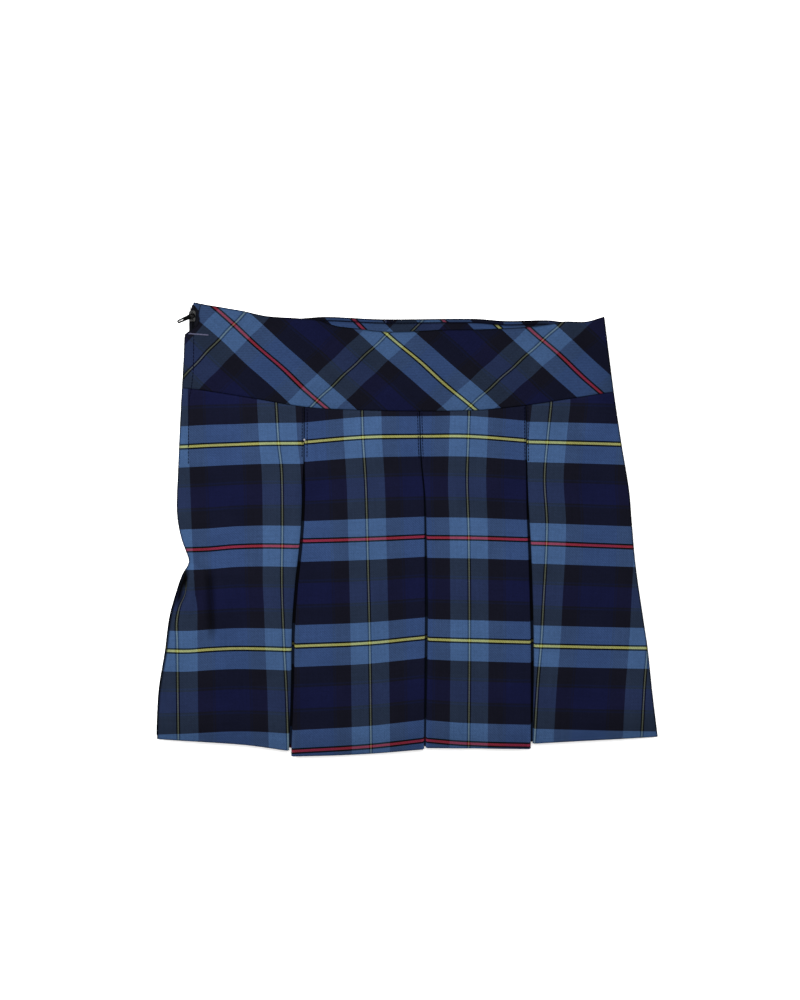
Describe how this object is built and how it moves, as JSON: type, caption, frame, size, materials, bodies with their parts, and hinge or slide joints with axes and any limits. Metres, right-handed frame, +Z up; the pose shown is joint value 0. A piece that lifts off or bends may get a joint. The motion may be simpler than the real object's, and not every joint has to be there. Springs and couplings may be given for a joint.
{
  "type": "pleated skort laid flat",
  "caption": "Girl's pleated plaid skort laid flat front up, with a bias cut yoke, inverted pleats and a side zip.",
  "frame": {"origin": "on the surface that the skort lies on, under the middle of its outline", "axes": "+X to the right of someone who looks at the front, +Y towards the waist, +Z up out of the front"},
  "size_m": [0.3756, 0.34, 0.0096],
  "materials": {
    "plaid_cloth": "matte twill, woven check",
    "plain_cloth": "matte twill",
    "zip_tape": "matte woven tape",
    "zip_coil": "satin",
    "zip_enamel": "semi gloss enamel"
  },
  "bodies": {
    "skort": {"front_skirt": "plaid_cloth", "front_yoke": "plaid_cloth", "back_yoke": "plaid_cloth", "back_yoke_facing": "plaid_cloth", "back_skirt": "plaid_cloth", "shorts_front_left": "plain_cloth", "shorts_front_right": "plain_cloth", "shorts_back_left": "plain_cloth", "shorts_back_right": "plain_cloth", "zip_tape_front": "zip_tape", "zip_tape_back": "zip_tape", "zip_coil_front": "zip_coil", "zip_coil_back": "zip_coil", "zip_slider": "zip_enamel"},
    "pull_tab": {"zip_pull_tab": "zip_enamel"}
  },
  "joints": [
    {"name": "pull_tab_swing", "type": "hinge", "parent": "skort", "child": "pull_tab", "pos_m": [-0.1613, 0.16, 0.0077], "axis": [0, 1, 0], "range_deg": [0, 140]}
  ]
}
